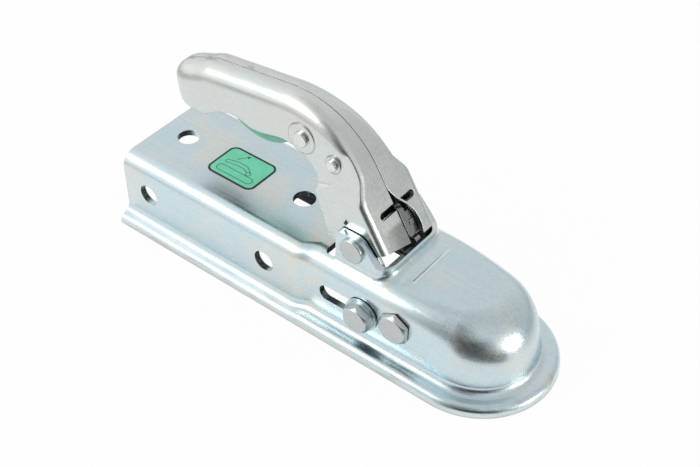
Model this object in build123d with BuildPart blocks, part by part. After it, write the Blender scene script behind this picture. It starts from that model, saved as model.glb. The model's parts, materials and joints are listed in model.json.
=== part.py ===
from build123d import *
import os
from math import atan2, cos, degrees, radians, sin, tan

# Trailer coupling head for a 50 mm tow ball, closed by a squeeze-and-lift handle.
# Millimetres. Origin at the centre of the ball, +X towards the towing car, +Z up.

# Ball and body sheet
ball_diameter = 50
ball_clearance = 0.25
sheet = 4
ball_height = 18

# Body lengths along X
rear_length = 230.6
waist_middle = -95.5
waist_length = 11
nose_length = 45

# Body section: half widths, top bends and wall slopes
rear_half_width = 36.5
front_half_width = 33.9
flange_half_width = 44.7
rear_top_radius = 9
front_top_radius = 12
front_draft = 0.6
cheek_draft = 4.4
cheek_top_radius = 19.3
nose_draft = 9
nose_top_radius = 28
crown_flat = 1.5
foot_radius = 5
flange_edge_radius = 4.5
rear_flange_root = 7.5
rear_flange_edge = 3.6
front_flange_root = 7
front_flange_edge = 6

# Drawbar bolt holes
bolt_hole_diameter = 13.4
bolt_hole_spacing = 90
bolt_hole_end = 18.9
side_hole_height = 26

# Top opening with its ears and lip
ear_gap = 44
ear_thickness = 4
ear_rear_x = -78.2
ear_height = 20
ear_top_reach = 4.6
ear_slope_reach = 16.6
ear_radii = (4, 7, 6, 4)
ear_foot_width = 2.4
ear_foot_height = 4.2
opening_rear_x = -85.6
lip_x = -45.6
lip_height = 5.8
lip_edge = 1.6
lip_rise = 0.5
lip_foot_width = 9
lip_foot_height = 5.3
lip_corner_radius = 7
relief_radius = 2.5

# Handle pivot in the ears
pivot_x = -66.6
pivot_height = 11.4
pivot_diameter = 10
pivot_head_diameter = 15
pivot_head_height = 2.4
pivot_rivet_diameter = 13
pivot_rivet_height = 1
running_clearance = 0.05
side_clearance = 0.3

# Slide bolt in the side slots, and the fixed front bolt
slide_x = -53.9
slide_z = 7.2
slide_diameter = 10
slide_travel = 24.4
slot_clearance = 0.25
slide_head_size = 15.5
slide_head_height = 4.7
slide_washer_diameter = 20.5
slide_washer_thickness = 1.2
slide_washer_step = 1
slide_nut_size = 14
slide_nut_height = 4
front_bolt_x = -32
front_bolt_z = 10.8
front_bolt_diameter = 12
front_head_size = 17
front_head_height = 3.6
front_rivet_diameter = 14
front_rivet_height = 1.5
hexagon_face_share = 0.95
thread_end = 0.7

# Handle: two half shells that follow a straight grip, an elbow and a straight neck
shell = 2.5
seam_gap = 0.3
elbow_x = -121
elbow_z = 47.6
elbow_outer_radius = 59
elbow_inner_radius = 30.5
grip_rise = 7
neck_fall = 59.4
grip_half_width = 12.5
grip_corner_radius = 10
grip_length = 85
bulb_length = 31
bulb_depth = 17.5
bulb_half_height = 14
neck_half_width = 21.4
neck_corner_radius = 4
neck_length = 46
neck_back_x = -86
neck_back_z = 36
elbow_half_width = 14.3
widening_lead = 60
widening_length = 65
shoulder_start = -3
shoulder_end = 13
back_lead = 20
arm_end_radius = 11
arm_back = (1.5, 6)
arm_below_pivot = (-1.5, -21)
arm_at_slide = [(-9, -6), (9.5, -5), (10, 4.5)]
arm_front = 16.3
arm_front_drop = 3
arm_top = (7, 8)
arm_slot_clearance = 0.4
arm_slot_length = 7
cross_slot_distance = 23
cross_slot_y = 1.9
cross_slot_length = 28.5
cross_slot_height = 4.4
latch_window_width = 12.3
latch_window_rim = 1.3
foot_slope = 5
foot_trim = 0.5
slit_x = -74.4
slit_z = 53
slit_length = 5
slit_width = 1.9
slit_turn = 60

# Underside of the grip: share of the straight grip behind the elbow, and depth below the elbow's inside
finger_edge = [(-0.167, 2.5), (0, -0.6), (0.278, 0.8), (0.444, 0.3), (0.611, -3.2), (0.852, -2.8), (1.056, 2),
               (1.185, 5)]

# Inner edge of the latch window: share of the neck's length, and share of the window's width
window_edge = [(0.26, 0), (0.34, 0.115), (0.40, 0.22), (0.457, 0.36), (0.535, 0.59), (0.625, 0.81), (0.71, 0.94),
               (0.805, 1), (0.89, 1), (0.97, 0.93), (1.06, 0.85)]

# Rivets through the shells, and the bush and spring on the pivot
trigger_angle = 75.4
trigger_depth = 19.32
shell_rivet_angle = 45.4
shell_rivet_depth = 12.8
rivet_diameter = 5
rivet_head_diameter = 9.2
rivet_head_height = 1.8
shell_head_diameter = 7
rim_share = 0.4
trigger_pad_diameter = 18
shell_pad_diameter = 10
pad_height = 0.7
bush_wall = 1
shell_spacer_diameter = 9
spacer_margin = 1.7
handle_spring_wire = 2
handle_spring_gap = 0.6
handle_spring_turns = 5
handle_spring_pitch = 2.5
handle_spring_end = -1
spring_leg_reach = 19.4
spring_leg_drop = 11.4
spring_leg_tip = 3
spring_bar_length = 11.3

# Trigger in the grip
trigger_half_width = 9.4
trigger_drop = 17.6
trigger_tail = (14, 3)
trigger_tail_height = 4
trigger_front = (10, 8)
trigger_belly = 30
strip = 3
strip_bend = 3.6
strip_inner = -1
strip_outer = 7.5
strip_tail = 41
strip_fit = 0.05
hub_half_width = 9.7
lever_knee = (22.3, 53.2)
lever_hollow = (14.8, 13.6)
latch_plate_inner = 3.6
latch_plate_outer = 12.2
latch_plate_start = 27.5
latch_plate_end = 1.5
latch_toe_rise = 0.2
latch_boss = 3
latch_boss_y = 9
latch_boss_drop = 14.2
latch_boss_height = 0.6
latch_gap = 0.8
trigger_spring_wire = 1
trigger_spring_radius = 3.5
trigger_spring_turns = 5
trigger_spring_back = 30

# Ball clamp and the block that drives it
clamp_half_width = 20
clamp_toe_height = 5
clamp_boss_radius = 8.5
clamp_ball_gap = 0.4
clamp_heel = 6
clamp_front_x = -19
clamp_shoulder = 3
spacer_radius = 8
thrust_gap = 0.3
block_radius = 9.5
block_drop = 4

# Values that follow from the sizes above
ball_radius = ball_diameter / 2
socket_radius = ball_radius + ball_clearance
crown_z = socket_radius + sheet
under_crown_z = crown_z - sheet
floor_z = -ball_height
rear_x = -rear_length
waist_start = waist_middle - waist_length / 2
waist_end = waist_middle + waist_length / 2
pivot_z = crown_z + pivot_height
hole_xs = (rear_x + bolt_hole_end, rear_x + bolt_hole_end + bolt_hole_spacing)
side_hole_z = floor_z + side_hole_height
ear_inner = ear_gap / 2
ear_outer = ear_inner + ear_thickness

os.makedirs("parts", exist_ok=True)


def mix(first, second, share):
    """Value that lies the given share of the way from first to second."""
    return first + (second - first) * share


def ease(share):
    """Smooth step from 0 to 1 for a share that may run past its ends."""
    share = min(max(share, 0), 1)
    return share * share * (3 - 2 * share)


# Coupling body
def outline(waist, nose, tip):
    """Corners (y, z) and bend radii of the outer skin on one side, by its shares past the waist and nose."""
    root_half = mix(rear_half_width, front_half_width, waist)
    root_z = floor_z + mix(rear_flange_root, front_flange_root, waist)
    edge_z = floor_z + mix(rear_flange_edge, front_flange_edge, waist)
    draft = mix(mix(front_draft * waist, cheek_draft, nose), nose_draft, tip)
    shoulder_radius = mix(mix(rear_top_radius, front_top_radius, waist), cheek_top_radius, nose)
    top_radius = mix(shoulder_radius, nose_top_radius, tip)
    top_half = root_half - (crown_z - root_z) * tan(radians(draft))
    corners = [(top_half, crown_z), (root_half, root_z), (flange_half_width, edge_z)]
    corners.append((flange_half_width, floor_z))
    return corners, [top_radius, foot_radius, flange_edge_radius]


def half_outline(x):
    """Outer skin on the +Y side at station x."""
    return outline(ease((x - waist_start) / waist_length), max(1 + x / nose_length, 0) ** 2, 0)


def wall_half_width(x, z):
    """Outer half width of the side wall at station x and height z."""
    (top_half, top_z), (root_half, root_z) = half_outline(x)[0][:2]
    return mix(root_half, top_half, (z - root_z) / (top_z - root_z))


def body_section(x):
    """Closed section of the bent sheet at station x."""
    corners, radii = half_outline(x)
    left_corners = [(-y, z) for y, z in reversed(corners)]
    with BuildSketch(Plane.YZ.offset(x)) as section:
        with BuildLine():
            FilletPolyline(*left_corners, *corners, radius=radii[::-1] + radii)
            offset(amount=sheet, side=Side.RIGHT)
        make_face()
    return section.sketch


def upright_plane(x, y, outwards_x, outwards_y):
    """Upright plane through a point, with its local x along a level direction and its local y up."""
    return Plane(origin=(x, y, 0), x_dir=(outwards_x, outwards_y, 0), z_dir=(outwards_y, -outwards_x, 0))


def nose_section(angle):
    """Half section of the nose in an upright plane through the ball, turned from the +Y side."""
    turn = radians(angle)
    corners, radii = outline(1, 1, sin(turn))
    with BuildSketch(upright_plane(0, 0, sin(turn), cos(turn))) as section:
        with BuildLine():
            FilletPolyline((crown_flat, crown_z), *corners, radius=radii)
            offset(amount=sheet, side=Side.RIGHT)
        make_face()
    return section.sketch


collar_corner_x = lip_x - lip_corner_radius
collar_corner_y = ear_inner - lip_corner_radius
ear_blank_z = crown_z + 2 * ear_height
front_top_half = half_outline(collar_corner_x)[0][0][0]
bend_y = front_top_half - front_top_radius * tan(radians(45 - front_draft / 2))


def collar_section(angle, side):
    """Section of the collar round the opening, from angle 0 across an ear to 90 across the front lip."""
    turn = radians(angle)
    share = ease(angle / 90)
    wall = lip_corner_radius + mix(ear_thickness, lip_edge, share)
    foot = wall + mix(ear_foot_width, lip_foot_width, share)
    past_bend = max(collar_corner_y + foot * cos(turn) - bend_y, 0)
    bend_rise = (front_top_radius**2 - past_bend**2) ** 0.5
    foot_z = crown_z - front_top_radius + bend_rise
    foot_top = foot_z + mix(ear_foot_height, lip_foot_height, share)
    plane = upright_plane(collar_corner_x, side * collar_corner_y, sin(turn), side * cos(turn))
    with BuildSketch(plane) as section:
        with BuildLine():
            Spline((wall, foot_top), (foot, foot_z), tangents=[(0, -1), (1, -past_bend / bend_rise * cos(turn))])
            Polyline((foot, foot_z), (foot, foot_z - sheet / 2), (lip_corner_radius / 2, crown_z - sheet / 2),
                     (lip_corner_radius / 2, ear_blank_z), (wall, ear_blank_z), (wall, foot_top))
        make_face()
    return section.sketch


with BuildPart() as collar:
    for side in (1, -1):
        extrude(collar_section(0, side), amount=collar_corner_x - ear_rear_x, dir=(-1, 0, 0))
        loft([collar_section(angle, side) for angle in (0, 22.5, 45, 67.5, 90)])
    extrude(collar_section(90, 1), amount=2 * collar_corner_y, dir=(0, -1, 0))
    with BuildSketch(Plane.XZ):
        with BuildLine():
            ear_top = crown_z + ear_height
            lip_top = crown_z + lip_height
            far_x = lip_x + 2 * lip_foot_width
            FilletPolyline((ear_rear_x, 0), (ear_rear_x, ear_top), (pivot_x + ear_top_reach, ear_top),
                           (pivot_x + ear_slope_reach, lip_top + lip_rise), (lip_x + lip_edge, lip_top),
                           (far_x, lip_top), (far_x, 0), radius=[0, *ear_radii, 0, 0], close=True)
        make_face()
    extrude(amount=flange_half_width, both=True, mode=Mode.INTERSECT)

with BuildPart() as coupling_body:
    extrude(body_section(rear_x), amount=waist_start - rear_x, dir=(1, 0, 0))
    waist_steps = [waist_start + waist_length * step / 4 for step in range(5)]
    nose_steps = [-nose_length * (1 - step / 6) for step in range(7)]
    loft([body_section(x) for x in waist_steps])
    extrude(body_section(waist_end), amount=-nose_length - waist_end, dir=(1, 0, 0))
    loft([body_section(x) for x in nose_steps])
    loft([nose_section(180 * step / 12) for step in range(13)])
    with Locations((0, 0, crown_z - sheet / 2)):
        Cylinder(crown_flat, sheet)
    add(collar.part)
    with BuildSketch(Plane.XY.offset(crown_z)):
        with Locations(((opening_rear_x + lip_x) / 2, 0)):
            RectangleRounded(lip_x - opening_rear_x, ear_gap, lip_corner_radius)
    extrude(amount=2 * ear_height, both=True, mode=Mode.SUBTRACT)
    with BuildSketch(Plane.XY.offset(crown_z)):
        with Locations(((opening_rear_x + ear_rear_x) / 2, 0)):
            RectangleRounded(ear_rear_x - opening_rear_x, 2 * ear_outer, relief_radius)
    extrude(amount=-2 * sheet, mode=Mode.SUBTRACT)
    with BuildSketch(Plane.XY.offset(crown_z)):
        with Locations(*[(x, 0) for x in hole_xs]):
            Circle(bolt_hole_diameter / 2)
    extrude(amount=-2 * sheet, mode=Mode.SUBTRACT)
    with BuildSketch(Plane.XZ):
        with Locations(*[(x, side_hole_z) for x in hole_xs]):
            Circle(bolt_hole_diameter / 2)
        with Locations((pivot_x, pivot_z)):
            Circle(pivot_diameter / 2 + running_clearance)
        with Locations((slide_x - slide_travel / 2, slide_z)):
            SlotCenterToCenter(slide_travel, slide_diameter + 2 * slot_clearance)
        with Locations((front_bolt_x, front_bolt_z)):
            Circle(front_bolt_diameter / 2 + running_clearance)
    extrude(amount=flange_half_width, both=True, mode=Mode.SUBTRACT)
coupling_body.part.label = "coupling_body"
export_step(coupling_body.part, "parts/coupling_body.step")


# Handle shells
rise = radians(grip_rise)
fall = radians(neck_fall)
elbow_start = radians(90 + grip_rise)
elbow_end = radians(90 - neck_fall)
elbow_length = (elbow_start - elbow_end) * elbow_outer_radius
elbow_depth = elbow_outer_radius - elbow_inner_radius
bulb_start = grip_length - bulb_length


def elbow_point(radius, angle):
    """Point (x, z) at a radius and angle about the centre of the handle's elbow."""
    return elbow_x + radius * cos(angle), elbow_z + radius * sin(angle)


def grip_point(distance, depth):
    """Point (x, z) at a distance behind the elbow and a depth below the top line of the grip."""
    base_x, base_z = elbow_point(elbow_outer_radius - depth, elbow_start)
    return base_x - distance * cos(rise), base_z - distance * sin(rise)


def front_point(distance, depth):
    """Point (x, z) at a distance down the front of the neck and a depth behind it."""
    top_x, top_z = elbow_point(elbow_outer_radius - depth, elbow_end)
    return top_x + distance * cos(fall), top_z - distance * sin(fall)


trigger_x, trigger_z = elbow_point(elbow_outer_radius - trigger_depth, radians(trigger_angle))
shell_rivet_x, shell_rivet_z = elbow_point(elbow_outer_radius - shell_rivet_depth, radians(shell_rivet_angle))


def shell_half_width(distance):
    """Outer half width of the handle at a distance below the elbow, negative back round the elbow."""
    widening = ease((distance + widening_lead) / widening_length)
    shoulder = ease((distance - shoulder_start) / (shoulder_end - shoulder_start))
    return mix(mix(grip_half_width, elbow_half_width, widening), neck_half_width, shoulder)


def shell_wall(x, z):
    """Outer half width of the handle's side wall at a point beside the elbow."""
    distance = (elbow_end - atan2(z - elbow_z, x - elbow_x)) * elbow_outer_radius
    depth = elbow_outer_radius - ((x - elbow_x) ** 2 + (z - elbow_z) ** 2) ** 0.5
    lead = back_lead * (1 + distance / elbow_length)
    return mix(shell_half_width(distance), shell_half_width(distance + lead), depth / elbow_depth)


def bulb_station(share):
    """Section of the bulb a share of the way to its rear end."""
    width_share = (1 - share**5) ** 0.5
    half_height = bulb_half_height * (1 - share**3.5) ** 0.5
    distance = bulb_start + bulb_length * share
    drop = (bulb_depth - half_height) * ease(2 * share)
    return (grip_point(distance, drop), grip_point(distance, bulb_depth + half_height),
            grip_half_width * width_share, grip_half_width * width_share, grip_corner_radius * width_share)


def neck_station(distance):
    """Section of the elbow or the neck: top and bottom points, half width at each, and corner radius."""
    corner = mix(grip_corner_radius, neck_corner_radius, ease((distance + widening_lead) / widening_length))
    lead = back_lead * min(1 + distance / elbow_length, 1)
    if distance < 0:
        angle = elbow_end - distance / elbow_outer_radius
        top, bottom = elbow_point(elbow_outer_radius, angle), elbow_point(elbow_inner_radius, angle)
    else:
        back_x, back_z = elbow_point(elbow_inner_radius, elbow_end)
        share = distance / neck_length
        top, bottom = front_point(distance, 0), (mix(back_x, neck_back_x, share), mix(back_z, neck_back_z, share))
    return top, bottom, shell_half_width(distance), shell_half_width(distance + lead), corner


def handle_section(station, inset, skirt):
    """Rounded section of the handle, moved in by inset and drawn out below by skirt."""
    (top_x, top_z), (bottom_x, bottom_z), top_half, bottom_half, corner = station
    tall = ((top_x - bottom_x) ** 2 + (top_z - bottom_z) ** 2) ** 0.5
    up_x, up_z = (top_x - bottom_x) / tall, (top_z - bottom_z) / tall
    plane = Plane(origin=(bottom_x, 0, bottom_z), x_dir=(0, 1, 0), z_dir=(up_z, 0, -up_x))
    top_half -= inset
    bottom_half -= inset
    with BuildSketch(plane) as section:
        with BuildLine():
            FilletPolyline((-bottom_half, -skirt), (-top_half, tall - inset), (top_half, tall - inset),
                           (bottom_half, -skirt), radius=corner - inset)
            Line((bottom_half, -skirt), (-bottom_half, -skirt))
        make_face()
    return section.sketch


def handle_form(inset, skirt, bulb_shares, foot):
    """Solid form of the handle from the bulb to the foot of the neck."""
    elbow_distances = [mix(-elbow_length, shoulder_start, step / 5) for step in range(6)]
    shoulder_distances = [mix(shoulder_start, shoulder_end, step / 4) for step in range(5)]
    with BuildPart() as form:
        extrude(handle_section(bulb_station(0), inset, skirt), amount=bulb_start, dir=(cos(rise), 0, sin(rise)))
        loft([handle_section(bulb_station(share), inset, skirt) for share in bulb_shares])
        loft([handle_section(neck_station(distance), inset, skirt) for distance in elbow_distances])
        loft([handle_section(neck_station(distance), inset, skirt) for distance in shoulder_distances])
        loft([handle_section(neck_station(distance), inset, skirt) for distance in (shoulder_end, foot)])
    return form.part


outer_form = handle_form(0, 0, (0, 0.35, 0.65, 0.84, 0.94, 0.99), neck_length)
inner_form = handle_form(shell, 2 * shell, (0, 0.35, 0.65, 0.84), neck_length + 2 * shell)
arm_inner = neck_half_width - shell
pivot_to_slide = degrees(atan2(slide_z - pivot_z, slide_x - pivot_x))
trigger_wall = shell_wall(trigger_x, trigger_z)
shell_rivet_wall = shell_wall(shell_rivet_x, shell_rivet_z)
front_x, front_z = front_point(cross_slot_distance, 0)
front_plane = Plane(origin=(front_x, 0, front_z), x_dir=(0, 1, 0), z_dir=(sin(fall), 0, cos(fall)))

with BuildPart() as half_shell:
    add(outer_form)
    add(inner_form, mode=Mode.SUBTRACT)
    with BuildSketch(Plane.XZ):
        with BuildLine():
            finger_points = [grip_point(share * bulb_start, elbow_depth + extra) for share, extra in finger_edge]
            finger_ends = [grip_point(finger_edge[end][0] * bulb_start, 2 * elbow_depth) for end in (-1, 0)]
            Spline(*finger_points)
            Polyline(finger_points[-1], *finger_ends, finger_points[0])
        make_face()
    extrude(amount=2 * grip_half_width, both=True, mode=Mode.SUBTRACT)
    with BuildSketch(Plane.XZ.offset(arm_inner)):
        Polygon((neck_back_x + arm_back[0], neck_back_z + arm_back[1]),
                (pivot_x + arm_below_pivot[0], pivot_z + arm_below_pivot[1]),
                *[(slide_x + along, slide_z + up) for along, up in arm_at_slide],
                (pivot_x + arm_front, under_crown_z - sheet / 4), (pivot_x + arm_front, pivot_z - arm_front_drop),
                (pivot_x + arm_top[0], pivot_z + arm_top[1]), align=None)
        with Locations((slide_x, slide_z)):
            Circle(arm_end_radius)
    extrude(amount=shell)
    for pad_x, pad_z, pad_wall, pad_diameter in (
            (trigger_x, trigger_z, trigger_wall, trigger_pad_diameter),
            (shell_rivet_x, shell_rivet_z, shell_rivet_wall, shell_pad_diameter)):
        with BuildSketch(Plane.XZ.offset(pad_wall - shell / 2)):
            with Locations((pad_x, pad_z)):
                Circle(pad_diameter / 2)
        extrude(amount=shell / 2 + pad_height)
        with BuildSketch(Plane.XZ.offset(pad_wall + pad_height)):
            with Locations((pad_x, pad_z)):
                Circle(pad_diameter / 2)
        extrude(amount=shell, mode=Mode.SUBTRACT)
    split(bisect_by=Plane.XZ.offset(seam_gap / 2), keep=Keep.TOP)
    with BuildSketch(Plane.XZ):
        with Locations((pivot_x, pivot_z)):
            Circle(pivot_diameter / 2 + running_clearance)
        with Locations((trigger_x, trigger_z), (shell_rivet_x, shell_rivet_z)):
            Circle(rivet_diameter / 2 + running_clearance)
        with Locations((slide_x, slide_z)):
            SlotCenterToCenter(arm_slot_length, slide_diameter + 2 * arm_slot_clearance, rotation=pivot_to_slide)
    extrude(amount=flange_half_width, both=True, mode=Mode.SUBTRACT)


def window_outline(shift):
    """Latch window in the front of the neck, moved to the far side by a shift."""
    edge = []
    for down, across in window_edge:
        edge.append((shift + across * latch_window_width, cross_slot_distance - down * neck_length))
    with BuildSketch(front_plane) as window:
        with BuildLine():
            Spline(*edge)
            Polyline(edge[-1], (-shell, edge[-1][1]), (-shell, edge[0][1]), edge[0])
        make_face()
    return window.sketch


def cross_slot(rim):
    """Slot across the front of the neck, kept clear of the latch window where a rim is given."""
    with BuildPart() as slot:
        with BuildSketch(front_plane):
            with Locations((cross_slot_y, 0)):
                SlotOverall(cross_slot_length, cross_slot_height)
        extrude(amount=2 * shell, both=True)
        if rim:
            extrude(window_outline(rim), amount=2 * shell, both=True, mode=Mode.SUBTRACT)
    return slot.part


with BuildPart() as handle_left_shell:
    add(half_shell.part)
    add(cross_slot(0), mode=Mode.SUBTRACT)
    with BuildSketch(front_plane):
        foot_drop = cross_slot_distance - neck_length
        Polygon((0, foot_drop + foot_trim), (-neck_half_width, foot_drop + foot_slope),
                (-neck_half_width, 2 * foot_drop), (0, 2 * foot_drop), align=None)
    extrude(amount=2 * shell, both=True, mode=Mode.SUBTRACT)
    with BuildSketch(Plane.XZ):
        with Locations((slit_x, slit_z)):
            SlotOverall(slit_length, slit_width, rotation=slit_turn)
    extrude(amount=flange_half_width, mode=Mode.SUBTRACT)
handle_left_shell.part.label = "handle_left_shell"
export_step(handle_left_shell.part, "parts/handle_left_shell.step")

with BuildPart() as handle_right_shell:
    mirror(half_shell.part, about=Plane.XZ)
    add(cross_slot(latch_window_rim), mode=Mode.SUBTRACT)
    extrude(window_outline(0), amount=2 * shell, both=True, mode=Mode.SUBTRACT)
handle_right_shell.part.label = "handle_right_shell"
export_step(handle_right_shell.part, "parts/handle_right_shell.step")


# Pins, rivets and bolts, all across the coupling along Y
def disc(x, z, y_start, y_end, radius, bore=0):
    """Round bar, or a washer or tube where a bore is given, along Y between two stations."""
    with BuildPart() as bar:
        with BuildSketch(Plane.XZ.offset(-y_start)):
            with Locations((x, z)):
                Circle(radius)
                if bore:
                    Circle(bore, mode=Mode.SUBTRACT)
        extrude(amount=y_start - y_end)
    return bar.part


def domed_head(x, z, y_seat, side, radius, height):
    """Flat head with a rounded rim that stands outwards from its seat."""
    with BuildPart() as head:
        with BuildSketch(Plane(origin=(x, y_seat, z), x_dir=(1, 0, 0), z_dir=(0, side, 0))):
            Circle(radius)
        extrude(amount=height)
        outer_face = head.faces().sort_by(Axis((0, 0, 0), (0, side, 0)))[-1]
        fillet(outer_face.edges(), height * rim_share)
    return head.part


def hexagon(x, z, y_seat, side, size, height, turn=30, bore=0):
    """Hexagon head, or a nut where a bore is given, with its outer corners turned off."""
    corner_radius = size / 2 / cos(radians(30))
    with BuildPart() as head:
        with BuildSketch(Plane(origin=(x, y_seat, z), x_dir=(1, 0, 0), z_dir=(0, side, 0))):
            Circle(corner_radius)
            if bore:
                Circle(bore, mode=Mode.SUBTRACT)
        extrude(amount=height)
        outer_face = head.faces().sort_by(Axis((0, 0, 0), (0, side, 0)))[-1]
        chamfer(outer_face.outer_wire().edges(), corner_radius - hexagon_face_share * size / 2)
        with BuildSketch(Plane(origin=(x, y_seat, z), x_dir=(1, 0, 0), z_dir=(0, side, 0))):
            RegularPolygon(size / 2, side_count=6, major_radius=False, rotation=turn)
        extrude(amount=height, mode=Mode.INTERSECT)
    return head.part


pivot_radius = pivot_diameter / 2
with BuildPart() as pivot_pin:
    add(disc(pivot_x, pivot_z, -ear_outer, ear_outer, pivot_radius))
    add(domed_head(pivot_x, pivot_z, -ear_outer, -1, pivot_head_diameter / 2, pivot_head_height))
    add(domed_head(pivot_x, pivot_z, ear_outer, 1, pivot_rivet_diameter / 2, pivot_rivet_height))
pivot_pin.part.label = "pivot_pin"
export_step(pivot_pin.part, "parts/pivot_pin.step")

bush_bore = pivot_radius + running_clearance
bush_radius = bush_bore + bush_wall
with BuildPart() as pivot_bush:
    add(disc(pivot_x, pivot_z, -arm_inner, arm_inner, bush_radius, bush_bore))
pivot_bush.part.label = "pivot_bush"
export_step(pivot_bush.part, "parts/pivot_bush.step")

trigger_seat = trigger_wall + pad_height
with BuildPart() as trigger_rivet:
    add(disc(trigger_x, trigger_z, -trigger_seat, trigger_seat, rivet_diameter / 2))
    for side in (1, -1):
        add(domed_head(trigger_x, trigger_z, side * trigger_seat, side, rivet_head_diameter / 2,
                       rivet_head_height))
trigger_rivet.part.label = "trigger_rivet"
export_step(trigger_rivet.part, "parts/trigger_rivet.step")

shell_rivet_seat = shell_rivet_wall + pad_height
with BuildPart() as shell_rivet:
    add(disc(shell_rivet_x, shell_rivet_z, -shell_rivet_seat, shell_rivet_seat, rivet_diameter / 2))
    for side in (1, -1):
        add(domed_head(shell_rivet_x, shell_rivet_z, side * shell_rivet_seat, side, shell_head_diameter / 2,
                       rivet_head_height))
shell_rivet.part.label = "shell_rivet"
export_step(shell_rivet.part, "parts/shell_rivet.step")

spacer_half = shell_rivet_wall - shell - spacer_margin
with BuildPart() as shell_spacer:
    add(disc(shell_rivet_x, shell_rivet_z, -spacer_half, spacer_half, shell_spacer_diameter / 2,
             rivet_diameter / 2 + running_clearance))
shell_spacer.part.label = "shell_spacer"
export_step(shell_spacer.part, "parts/shell_spacer.step")

front_seat = wall_half_width(front_bolt_x, front_bolt_z - front_head_size)
front_radius = front_bolt_diameter / 2
with BuildPart() as front_bolt:
    add(disc(front_bolt_x, front_bolt_z, -front_seat, front_seat, front_radius))
    add(hexagon(front_bolt_x, front_bolt_z, -front_seat, -1, front_head_size, front_head_height))
    add(domed_head(front_bolt_x, front_bolt_z, front_seat, 1, front_rivet_diameter / 2, front_rivet_height))
front_bolt.part.label = "front_bolt"
export_step(front_bolt.part, "parts/front_bolt.step")

slide_seat = wall_half_width(slide_x, slide_z - slide_washer_diameter / 2) + side_clearance
near_stack = slide_seat + 2 * slide_washer_thickness
far_stack = slide_seat + slide_washer_thickness
slide_radius = slide_diameter / 2
washer_bore = slide_radius + running_clearance
with BuildPart() as slide_bolt:
    add(disc(slide_x, slide_z, -near_stack, far_stack + slide_nut_height + thread_end, slide_radius))
    add(hexagon(slide_x, slide_z, -near_stack, -1, slide_head_size, slide_head_height))
slide_bolt.part.label = "slide_bolt"
export_step(slide_bolt.part, "parts/slide_bolt.step")

with BuildPart() as slide_nut:
    add(hexagon(slide_x, slide_z, far_stack, 1, slide_nut_size, slide_nut_height, turn=0, bore=washer_bore))
slide_nut.part.label = "slide_nut"
export_step(slide_nut.part, "parts/slide_nut.step")

washer_radius = slide_washer_diameter / 2
with BuildPart() as slide_washers:
    add(disc(slide_x, slide_z, -far_stack, -slide_seat, washer_radius, washer_bore))
    add(disc(slide_x, slide_z, -near_stack, -far_stack, washer_radius - slide_washer_step, washer_bore))
    add(disc(slide_x, slide_z, slide_seat, far_stack, slide_nut_size / 2, washer_bore))
slide_washers.part.label = "slide_washers"
export_step(slide_washers.part, "parts/slide_washers.step")

# Block on the slide bolt that drives the ball clamp
clamp_back_x = front_bolt_x - clamp_boss_radius
block_half_width = arm_inner - side_clearance
with BuildPart() as thrust_block:
    with BuildSketch(Plane.XZ):
        block_front = clamp_back_x - thrust_gap - slide_x
        with Locations((slide_x, slide_z)):
            Circle(block_radius)
            with Locations((block_front / 2, -block_drop)):
                Rectangle(block_front, 2 * block_drop)
            Circle(washer_bore, mode=Mode.SUBTRACT)
    extrude(amount=block_half_width, both=True)
thrust_block.part.label = "thrust_block"
export_step(thrust_block.part, "parts/thrust_block.step")

# Ball clamp, hung on the front bolt
clamp_toe_z = floor_z + clamp_toe_height
with BuildPart() as ball_clamp:
    with BuildSketch(Plane.XZ):
        Polygon((clamp_back_x, front_bolt_z), (clamp_back_x, clamp_toe_z + clamp_heel),
                (front_bolt_x, clamp_toe_z), (clamp_front_x, clamp_toe_z),
                (clamp_front_x, front_bolt_z + clamp_shoulder),
                (front_bolt_x, front_bolt_z + clamp_boss_radius), align=None)
        with Locations((front_bolt_x, front_bolt_z)):
            Circle(clamp_boss_radius)
    extrude(amount=clamp_half_width, both=True)
    Sphere(ball_radius + clamp_ball_gap, mode=Mode.SUBTRACT)
    with BuildSketch(Plane.XZ):
        with Locations((front_bolt_x, front_bolt_z)):
            Circle(front_radius + running_clearance)
    extrude(amount=clamp_half_width, both=True, mode=Mode.SUBTRACT)
ball_clamp.part.label = "ball_clamp"
export_step(ball_clamp.part, "parts/ball_clamp.step")

spacer_outer = wall_half_width(front_bolt_x, front_bolt_z + spacer_radius) - sheet - side_clearance
with BuildPart() as clamp_spacers:
    for side in (1, -1):
        add(disc(front_bolt_x, front_bolt_z, side * (clamp_half_width + side_clearance), side * spacer_outer,
                 spacer_radius, front_radius + running_clearance))
clamp_spacers.part.label = "clamp_spacers"
export_step(clamp_spacers.part, "parts/clamp_spacers.step")

# Latch lever: one folded strip with a hub on the trigger rivet, and a plate beside it behind the latch window
strip_depth = shell + latch_gap + strip / 2
tail_end = (trigger_x - strip_tail * cos(rise), trigger_z - strip_tail * sin(rise))
knee = elbow_point(elbow_outer_radius - lever_knee[0], radians(lever_knee[1]))
hollow = elbow_point(elbow_outer_radius - lever_hollow[0], radians(lever_hollow[1]))
plate_top = front_point(latch_plate_start, strip_depth)
plate_foot = front_point(neck_length - latch_plate_end, strip_depth)
toe_tip = (lip_x - latch_gap - strip / 2, plate_foot[1] + latch_toe_rise)
shank_end = (mix(hollow[0], plate_top[0], 0.5), mix(hollow[1], plate_top[1], 0.5))


def strip_outline(points, start, thickness):
    """Side view of a strip that follows the points with rounded folds, drawn at a distance from the middle."""
    with BuildSketch(Plane.XZ.offset(-start)) as side_view:
        with BuildLine():
            if len(points) > 2:
                FilletPolyline(*points, radius=strip_bend)
            else:
                Polyline(*points)
            offset(amount=thickness / 2, side=Side.BOTH)
        make_face()
    return side_view.sketch


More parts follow.
